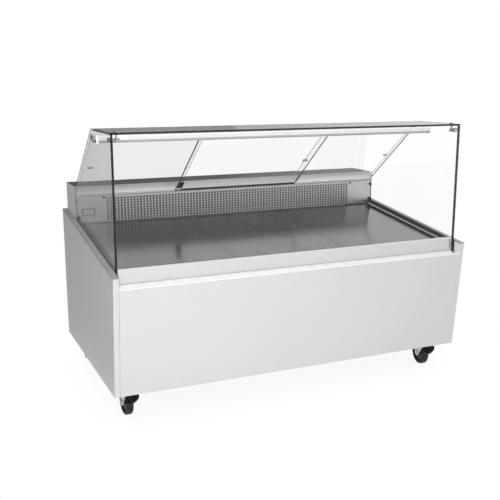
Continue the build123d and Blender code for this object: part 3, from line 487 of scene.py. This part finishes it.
# Up- and down-facing faces, the folds at top and foot, get a light matte grey in place of the steel: a
# painted highlight.
faced(air_steel, along_z, (0.72, 0.725, 0.725), (0.78, 0.785, 0.785), roughness=0.4)
air_panel.data.materials.append(air_steel)
thickness = air_panel.modifiers.new("sheet", "SOLIDIFY")
thickness.thickness = air_sheet
thickness.offset = -1.0
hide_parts("perforated_air_panel")
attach(air_panel, "case")

screw_steel, tree, shader = finish("screw_steel", (0.012, 0.012, 0.012), roughness=0.5)
shader.inputs["Specular IOR Level"].default_value = 0.1
screw_gloss = ramp(tree, grain(tree, scale=400.0), low=0.4, high=0.6)
tree.links.new(screw_gloss, shader.inputs["Roughness"])
screw_radius = 0.0062
screw_rise = 0.002
screw_x = 0.726
screw_z = 0.892
screw_eye = 0.0003
screw_turns = 20
towards_front = (0.0, -1.0, 0.0)
dome = np.linspace(0.0, math.pi / 2, 6)
screw_profile = np.stack([screw_eye + screw_radius * np.cos(dome), screw_rise * np.sin(dome)], -1)
screw_profile = np.concatenate([[(screw_eye, 0.0)], screw_profile])
for end, x in (("left", -screw_x), ("right", screw_x)):
    screw_place = (x, air_low.y, screw_z)
    screw = turned(f"air_panel_screw_{end}", screw_place, towards_front, screw_profile, screw_turns)
    screw.data.materials.append(screw_steel)
    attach(screw, "case")

plate_low = (-0.840, 0.803)
plate_size = (0.066, 0.036)
plate_border = 0.005
plate_rise = 0.0022
plate_edge = 0.0006
plate_start = (plate_low[0], air_low.y, plate_low[1])
plate_end = (plate_low[0], air_low.y - plate_rise, plate_low[1])
frame_bars = [
    (0.0, 0.0, plate_size[0], plate_border),
    (0.0, plate_size[1] - plate_border, plate_size[0], plate_border),
    (0.0, plate_border, plate_border, plate_size[1] - 2 * plate_border),
    (plate_size[0] - plate_border, plate_border, plate_border, plate_size[1] - 2 * plate_border),
]
bars = []
for x, z, width, height in frame_bars:
    start = np.array(plate_start) + (x, 0.0, z)
    end = np.array(plate_end) + (x, 0.0, z)
    bars.append(prism(rectangle(width, height), start, end, along_x, along_z))
probe_plate = gathered("probe_plate", bars)
probe_dark, probe_light = (0.12, 0.122, 0.122), (0.17, 0.172, 0.172)
probe_steel = brushed("probe_plate_steel", probe_dark, probe_light, roughness=0.35, along="X")
probe_plate.data.materials.append(probe_steel)
ease(probe_plate, plate_edge)
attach(probe_plate, "case")


# Stainless trims on the sloping edges of the side panels, and stainless ledges along the ends of the well.
# Black rubber gaskets, grey outside, stand between the ledges and the side glass; the right one has a tail
# on the apron. Black shoes hold the front glass.
trim_steel = brushed("trim_steel", (0.29, 0.295, 0.30), (0.40, 0.405, 0.41), roughness=0.33, along="Y")
# Up- and down-facing faces of the trims get a matte grey in place of the steel, so that the overhead lamp
# lights them: a painted highlight.
faced(trim_steel, along_z, (0.29, 0.295, 0.30), (0.35, 0.355, 0.36), roughness=0.33)
trim_edge = 0.0008
ease(wear("top_trims", trim_steel), trim_edge)
ledge_steel = brushed("ledge_steel", (0.42, 0.425, 0.43), (0.52, 0.525, 0.53), roughness=0.33, along="Y")
# Up- and down-facing faces of the ledges get a lighter matte grey in place of the steel: a painted
# highlight.
faced(ledge_steel, along_z, (0.58, 0.585, 0.59), (0.64, 0.645, 0.65), roughness=0.35)
wear("side_ledges", ledge_steel)
black_rubber = moulded("black_rubber", (0.016, 0.016, 0.017), (0.030, 0.030, 0.031), roughness=0.55)
wear("front_glass_shoes", black_rubber)
gasket_rubber = moulded("gasket_rubber", (0.016, 0.016, 0.017), (0.030, 0.030, 0.031), roughness=0.55)
tree = gasket_rubber.node_tree
outward = reckon(tree, "MULTIPLY", measured(tree, "X"), slant(tree, along_x))
outer_least = 0.6
outer_side = reckon(tree, "GREATER_THAN", outward, outer_least)
outer_dark, outer_light = (0.22, 0.222, 0.222), (0.28, 0.282, 0.282)
second(gasket_rubber, outer_side, grain(tree, scale=3.0), outer_dark, outer_light, roughness=0.5)
wear("side_gaskets", gasket_rubber)
tail_x = (0.854, 0.858)
tail_z = (0.643, 0.688)
tail_rise = 0.0008
tail_y = -0.4675
tail_outline = rectangle(tail_rise, tail_z[1] - tail_z[0])
tail_start = (tail_x[0], tail_y, tail_z[0])
tail_end = (tail_x[1], tail_y, tail_z[0])
gasket_tail = gathered("gasket_tail", [prism(tail_outline, tail_start, tail_end, towards_front, along_z)])
gasket_tail.data.materials.append(black_rubber)
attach(gasket_tail, "case")


# Canopy glass: 6 mm toughened panes, ground at the edges and joined with dark silicone.
# The front, both sides and the flat roof carry each other, with black seals inside their corners
# and black clips at the rear of the side panes.
def pane(name, tint, edge_axis, edge_colour, index=1.5):
    """Clear glass with ground edges of their own colour: faces that don't look along edge_axis.

    Lamps shine through it unbent, so that what stands behind the glass is lit.
    """
    made, tree, shader = finish(name, tint, roughness=0.0)
    shader.inputs["Transmission Weight"].default_value = 1.0
    shader.inputs["IOR"].default_value = index
    edge = tree.nodes.new("ShaderNodeBsdfPrincipled")
    edge.inputs["Base Color"].default_value = (*edge_colour, 1.0)
    edge.inputs["Roughness"].default_value = 0.6
    edge.inputs["Specular IOR Level"].default_value = 0.1
    body = joined(tree, facing(tree, edge_axis), edge.outputs["BSDF"], shader.outputs["BSDF"])
    clear = tree.nodes.new("ShaderNodeBsdfTransparent")
    let_through = (0.97, 0.975, 0.975)
    clear.inputs["Color"].default_value = (*let_through, 1.0)
    path = tree.nodes.new("ShaderNodeLightPath")
    surface = joined(tree, path.outputs["Is Shadow Ray"], body, clear.outputs["BSDF"])
    tree.links.new(surface, tree.nodes["Material Output"].inputs["Surface"])
    return made


coated_index = 1.2
silicone = (0.012, 0.013, 0.013)
front_tint, roof_tint = (0.997, 1.0, 1.0), (0.86, 0.87, 0.87)
wear("front_glass", pane("front_pane", front_tint, along_y, silicone, coated_index))
wear("top_glass", pane("roof_pane", roof_tint, along_z, silicone))
# The left side pane is tinted grey and the right one nearly clear, though both are the same glass: painted
# shade on the left pane.
side_tints = {"left": (0.76, 0.762, 0.762), "right": (0.99, 0.992, 0.992)}
for end, tint in side_tints.items():
    wear(f"{end}_side_glass", pane(f"{end}_side_pane", tint, along_x, silicone, coated_index))

seal_leg = 0.0034
seal_wall = 0.0025
seal_gap = 0.0003
seal_foot = 0.681
seal_outline = [(0, 0), (seal_leg, 0), (seal_leg, seal_wall), (seal_wall, seal_wall)]
seal_outline += [(seal_wall, seal_leg), (0, seal_leg)]
front_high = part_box("front_glass")[1]
side_low, side_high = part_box("right_side_glass")
roof_low, roof_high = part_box("top_glass")
seal_x = side_low.x - seal_gap
seal_y = front_high.y + seal_gap
seal_z = roof_low.z - seal_gap
below = (0.0, 0.0, -1.0)
seal_end = (seal_x - seal_leg, seal_y, seal_z)
roof_bead = rectangle(seal_wall, seal_wall)
seals = [prism(roof_bead, (-seal_end[0], seal_y, seal_z), seal_end, along_y, below)]
for side in (-1, 1):
    inward = (-side, 0.0, 0.0)
    x = side * seal_x
    seals.append(prism(seal_outline, (x, seal_y, seal_foot), (x, seal_y, seal_z), inward, along_y))
    roof_start = (x, seal_y + seal_leg, seal_z)
    roof_end = (x, roof_high.y - seal_leg, seal_z)
    seals.append(prism(seal_outline, roof_start, roof_end, inward, below))
glass_seals = gathered("glass_seals", seals)
glass_seals.data.materials.append(black_rubber)
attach(glass_seals, "case")

clip_depth = 0.010
clip_edge = 0.001
lower_clip = {"wall": 0.016, "low": 0.789, "high": 0.800}
upper_clip = {"wall": 0.005, "low": 0.869, "high": 0.886}
clip_y = side_high.y - clip_depth
clips = []
for side in (-1, 1):
    for clip in (lower_clip, upper_clip):
        start = (side * seal_x, clip_y, clip["low"])
        end = (side * seal_x, clip_y, clip["high"])
        clips.append(prism(rectangle(clip["wall"], clip_depth), start, end, (-side, 0.0, 0.0), along_y))
pane_clips = gathered("pane_clips", clips)
pane_clips.data.materials.append(black_rubber)
ease(pane_clips, clip_edge)
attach(pane_clips, "case")


# Corner connectors: turned stainless hubs with a stud and two discs for each of three panes.
# Tightened through holes in the glass at both upper front corners.
bright_steel, tree, shader = finish("connector_steel", (0.46, 0.46, 0.46), roughness=0.22, metallic=0.8)
bright_gloss = ramp(tree, grain(tree, scale=300.0), low=0.16, high=0.3)
tree.links.new(bright_gloss, shader.inputs["Roughness"])
connector_edge = 0.0006
ease(wear("glass_connectors", bright_steel), connector_edge)


# Lamp: a white extruded profile with an opal strip below, pushed into moulded caps on the side panes.
# The white paint of the profile and its caps is given a faint glow, stronger near the left end: painted
# light.
lamp_paint = coated("lamp_paint", (0.92, 0.92, 0.92), (0.96, 0.96, 0.96), roughness=0.35)
lamp_shader = lamp_paint.node_tree.nodes["Principled BSDF"]
lamp_shader.inputs["Emission Color"].default_value = (1.0, 1.0, 1.0, 1.0)
# Painted light: the paint's glow, stronger on the left end cap, which would otherwise stand in shade.
lamp_painted_glow = {"end": 0.5, "rest": 0.16}
lamp_end = (-0.78, -0.74)
tree = lamp_paint.node_tree
painted_glow_here = ramp(tree, measured(tree, "X"), lamp_painted_glow["end"], lamp_painted_glow["rest"], *lamp_end)
tree.links.new(painted_glow_here, lamp_shader.inputs["Emission Strength"])
opal = coated("lamp_opal", (0.62, 0.63, 0.63), (0.68, 0.69, 0.69), roughness=0.3)
wear("lamp_profile", lamp_paint)
wear("lamp_diffuser", opal)
wear("lamp_end_caps", lamp_paint)


# Rear doors: three 5 mm sliding panes in two planes, each with a foot rail and a finger pull.
# They run on a low extruded track on the sill and in an upper track held by moulded end brackets.
# The middle door has moulded guides and a black seal at its foot, and dark strips cover the open edges.
door_normal = (0.0, 0.6149, 0.7886)
door_upward = (0.0, -0.7886, 0.6149)
clear_tint = (0.99, 0.993, 0.993)
door_tints = {"left": (0.89, 0.893, 0.893), "middle": clear_tint, "right": clear_tint}
dark_edge, pale_edge = (0.02, 0.021, 0.021), (0.80, 0.805, 0.805)
door_edges = {"left": dark_edge, "middle": dark_edge, "right": pale_edge}
rail_metal, tree, shader = finish("rail_aluminium", (0.72, 0.725, 0.73), roughness=0.32, metallic=1.0)
lines = grain(tree, scale=700.0, stretch=(0.012, 1.0, 1.0))
tree.links.new(ramp(tree, lines, low=0.24, high=0.42), shader.inputs["Roughness"])
relief(tree, shader, lines, strength=0.1, distance=0.0002)
fitting_coat = coated("fitting_coat", (0.80, 0.805, 0.81), (0.86, 0.865, 0.87), roughness=0.35)
runner_top = 0.96
black_runner = moulded("black_runner", (0.016, 0.016, 0.017), (0.030, 0.030, 0.031), roughness=0.55)
tree = black_runner.node_tree
above = reckon(tree, "GREATER_THAN", measured(tree, "Z"), runner_top)
pull_dark, pull_light = (0.68, 0.685, 0.69), (0.76, 0.765, 0.77)
second(black_runner, above, grain(tree, scale=60.0), pull_dark, pull_light, roughness=0.4)
for door, metal in (("left", fitting_coat), ("middle", black_runner), ("right", fitting_coat)):
    glass = pane(f"{door}_door_pane", door_tints[door], door_normal, door_edges[door], coated_index)
    wear(f"{door}_door_glass", glass)
    wear(f"{door}_door_fittings", metal)
wear("lower_door_track", fitting_coat)
wear("upper_door_track", rail_metal)
bracket_grey = coated("bracket_grey", (0.36, 0.365, 0.37), (0.42, 0.425, 0.43), roughness=0.5)
wear("track_brackets", bracket_grey)

guide_low = 0.033
guide_size = (0.054, 0.006)
guide_outline = np.array(rectangle(*guide_size)) + (guide_low, -guide_size[1] / 2)
door_low, door_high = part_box("middle_door_glass")
door_foot = (0.2945, 0.9048)
guide_edge = 0.001
guide_spans = ((door_low.x, 0.005, 0.031), (door_high.x, -0.004, 0.005))
guides = []
for door_side, guide_start, guide_stop in guide_spans:
    start = (door_side + guide_start, *door_foot)
    end = (door_side + guide_stop, *door_foot)
    guides.append(prism(guide_outline, start, end, door_upward, door_normal))
door_guides = gathered("door_guides", guides)
guide_grey = moulded("guide_grey", (0.035, 0.035, 0.036), (0.055, 0.055, 0.056), roughness=0.5)
door_guides.data.materials.append(guide_grey)
ease(door_guides, guide_edge)
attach(door_guides, "middle_door")

wiper_low = 0.009
wiper_size = (0.009, 0.007)
wiper_inset = 0.028
wiper_start = (door_low.x + wiper_inset, *door_foot)
wiper_end = (door_high.x, *door_foot)
wiper_outline = np.array(rectangle(*wiper_size)) + (wiper_low, -wiper_size[1] / 2)
wiper = prism(wiper_outline, wiper_start, wiper_end, door_upward, door_normal)
foot_seal = gathered("door_foot_seal", [wiper])
foot_seal.data.materials.append(black_rubber)
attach(foot_seal, "middle_door")

door_length = 0.4996
outer_plane = 0.012
strip_clear = (0.014, 0.030)
strip_size = (0.0032, 0.0064)
strip_lap = 0.0024
right_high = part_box("right_door_glass")[1]
strips = {
    "middle_door": [(door_low.x, -1, 0.0), (door_high.x, 1, 0.0)],
    "right_door": [(right_high.x, 1, outer_plane)],
}
strip_rubber = moulded("strip_rubber", (0.05, 0.05, 0.051), (0.08, 0.08, 0.082), roughness=0.6)
strip_outline = np.array(rectangle(*strip_size)) - (strip_lap, strip_size[1] / 2)
for body, edges in strips.items():
    pieces = []
    for x, side, out in edges:
        foot = np.array((x, *door_foot)) + out * np.array(door_normal)
        start = foot + strip_clear[0] * np.array(door_upward)
        end = foot + (door_length - strip_clear[1]) * np.array(door_upward)
        pieces.append(prism(strip_outline, start, end, (side, 0.0, 0.0), door_normal))
    edge_strip = gathered(f"{body}_edge_strip", pieces)
    edge_strip.data.materials.append(strip_rubber)
    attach(edge_strip, body)


# Control panel: moulded grey fascia in the rear panel's window, with a blank display.
# Two black moulded rocker switches are clipped into it.
wear("control_panel", pipe_grey)
wear("power_switch", moulded_black)
wear("lamp_switch", moulded_black)


# Studio: a pale floor and a white surround, a broad soft light in front to the left, one overhead.
# The floor stays white to the camera, with a soft painted shadow under the case, darkened by ambient
# occlusion.
# Three grey flags at the left, behind and on the floor show only as reflections.
def seen_directly(tree):
    """One for rays from the camera, off mirrors and through glass, else zero.

    Light scattered by a matte surface doesn't count, so glass doesn't brighten what stands behind it.
    """
    path = tree.nodes.new("ShaderNodeLightPath")
    value = path.outputs["Is Camera Ray"]
    for name in ("Is Glossy Ray", "Is Transmission Ray"):
        value = reckon(tree, "MAXIMUM", value, path.outputs[name])
    half_a_bounce = 0.5
    unscattered = reckon(tree, "LESS_THAN", path.outputs["Diffuse Depth"], half_a_bounce)
    return reckon(tree, "MULTIPLY", unscattered, value)


studio_floor, tree, shader = finish("studio_floor", (0.80, 0.80, 0.80), roughness=0.9)
# The floor's glow to the camera is darkened near the case by ambient occlusion: a painted shadow.
shadow_reach = 0.4
near = tree.nodes.new("ShaderNodeAmbientOcclusion")
near.inputs["Distance"].default_value = shadow_reach
near.samples = 16
glow = tree.nodes.new("ShaderNodeEmission")
floor_glow_painted_shadow = ramp(tree, near.outputs["AO"], low=0.93, high=1.0, start=0.1, stop=0.75)
tree.links.new(floor_glow_painted_shadow, glow.inputs["Strength"])
surface = joined(tree, seen_directly(tree), shader.outputs["BSDF"], glow.outputs["Emission"])
tree.links.new(surface, tree.nodes["Material Output"].inputs["Surface"])
floor_reach = 30.0
floor_points = np.array([(-1, -1, 0), (1, -1, 0), (1, 1, 0), (-1, 1, 0)], float) * floor_reach
floor = sheet_mesh("studio_floor", floor_points, [np.array([[0, 1, 2, 3]])])
floor.data.materials.append(studio_floor)

surround = bpy.data.worlds.new("studio")
bpy.context.scene.world = surround
surround.use_nodes = True
tree = surround.node_tree
sky = tree.nodes["Background"]
sky_tint = (0.97, 0.99, 0.985)
sky_light = 0.36
backdrop = tree.nodes.new("ShaderNodeMix")
backdrop.data_type = "RGBA"
backdrop.inputs["A"].default_value = (*(sky_light * part for part in sky_tint), 1.0)
backdrop.inputs["B"].default_value = (1.0, 1.0, 1.0, 1.0)
tree.links.new(seen_directly(tree), backdrop.inputs["Factor"])
tree.links.new(backdrop.outputs["Result"], sky.inputs["Color"])


def flag(name, points, level, rises=()):
    """Grey studio flag that only mirrors see, even or brighter along X.

    Each rise is what it adds to the level, and the places along X where it starts and stops.
    """
    made, tree, _ = finish(name, (0.0, 0.0, 0.0), roughness=1.0)
    glow = tree.nodes.new("ShaderNodeEmission")
    glow.inputs["Strength"].default_value = level
    strength = level
    for rise, start, stop in rises:
        more = ramp(tree, measured(tree, "X"), 0.0, rise, start, stop)
        strength = reckon(tree, "ADD", strength, more)
        tree.links.new(strength, glow.inputs["Strength"])
    tree.links.new(glow.outputs["Emission"], tree.nodes["Material Output"].inputs["Surface"])
    piece = sheet_mesh(name, np.array(points, float), [np.array([[0, 1, 2, 3]])])
    piece.data.materials.append(made)
    piece.visible_camera = False
    piece.visible_diffuse = False
    piece.visible_transmission = False
    piece.visible_shadow = False


def standing(start, end):
    """Corners of an upright flag over the line from start to end on the floor."""
    return [(*start, flag_low), (*end, flag_low), (*end, flag_high), (*start, flag_high)]


back_rises = ((0.165, 1.27, 1.35), (0.35, 1.35, 3.6))
flag_low, flag_high = 0.05, 3.6
left_x, back_y = -3.0, 3.4
left_ends = (-3.5, 3.4)
back_ends = (-3.0, 6.0)
floor_x, floor_y = (-6.0, -1.0), (-1.0, 8.0)
flag("left_flag", standing((left_x, left_ends[0]), (left_x, left_ends[1])), level=0.08)
flag("back_flag", standing((back_ends[0], back_y), (back_ends[1], back_y)), level=0.125, rises=back_rises)
floor_near = [(floor_x[0], floor_y[0], flag_low), (floor_x[1], floor_y[0], flag_low)]
floor_far = [(floor_x[1], floor_y[1], flag_low), (floor_x[0], floor_y[1], flag_low)]
flag("floor_flag", floor_near + floor_far, level=0.2)


def soft_light(name, place, aim, size, power):
    """Square area light at place, turned to shine at aim."""
    lamp = bpy.data.lights.new(name, "AREA")
    lamp.energy = power
    lamp.size = size
    piece = bpy.data.objects.new(name, lamp)
    bpy.context.scene.collection.objects.link(piece)
    piece.location = place
    line = np.array(aim) - np.array(place)
    flat = math.hypot(line[0], line[1])
    piece.rotation_euler = (math.atan2(flat, -line[2]), 0.0, math.atan2(-line[0], line[1]))
    piece.visible_camera = False
    piece.visible_glossy = False
    piece.visible_transmission = False


soft_light("key_light", place=(-1.6, -3.6, 1.6), aim=(0.0, -0.3, 0.5), size=1.6, power=58.0)
soft_light("top_light", place=(0.0, -0.6, 4.0), aim=(0.0, 0.0, 0.0), size=2.5, power=85.0)


# Camera: at the photograph's place, turned to its angle, with its field of view.
# Plain colour management, so that a surface keeps the tone that it is lit to.
camera_place = (-1.6308, -3.5569, 1.4598)
camera_yaw = math.radians(23.99)
camera_pitch = math.radians(12.22)
photo_focal = 769.0
photo_width = 500.0
lens = bpy.data.cameras.new("photo_camera")
lens.sensor_width = 36.0
lens.lens = lens.sensor_width * photo_focal / photo_width
camera = bpy.data.objects.new("photo_camera", lens)
bpy.context.scene.collection.objects.link(camera)
camera.location = camera_place
camera.rotation_euler = (math.pi / 2 - camera_pitch, 0.0, -camera_yaw)
bpy.context.scene.camera = camera
bpy.context.scene.view_settings.view_transform = "Standard"
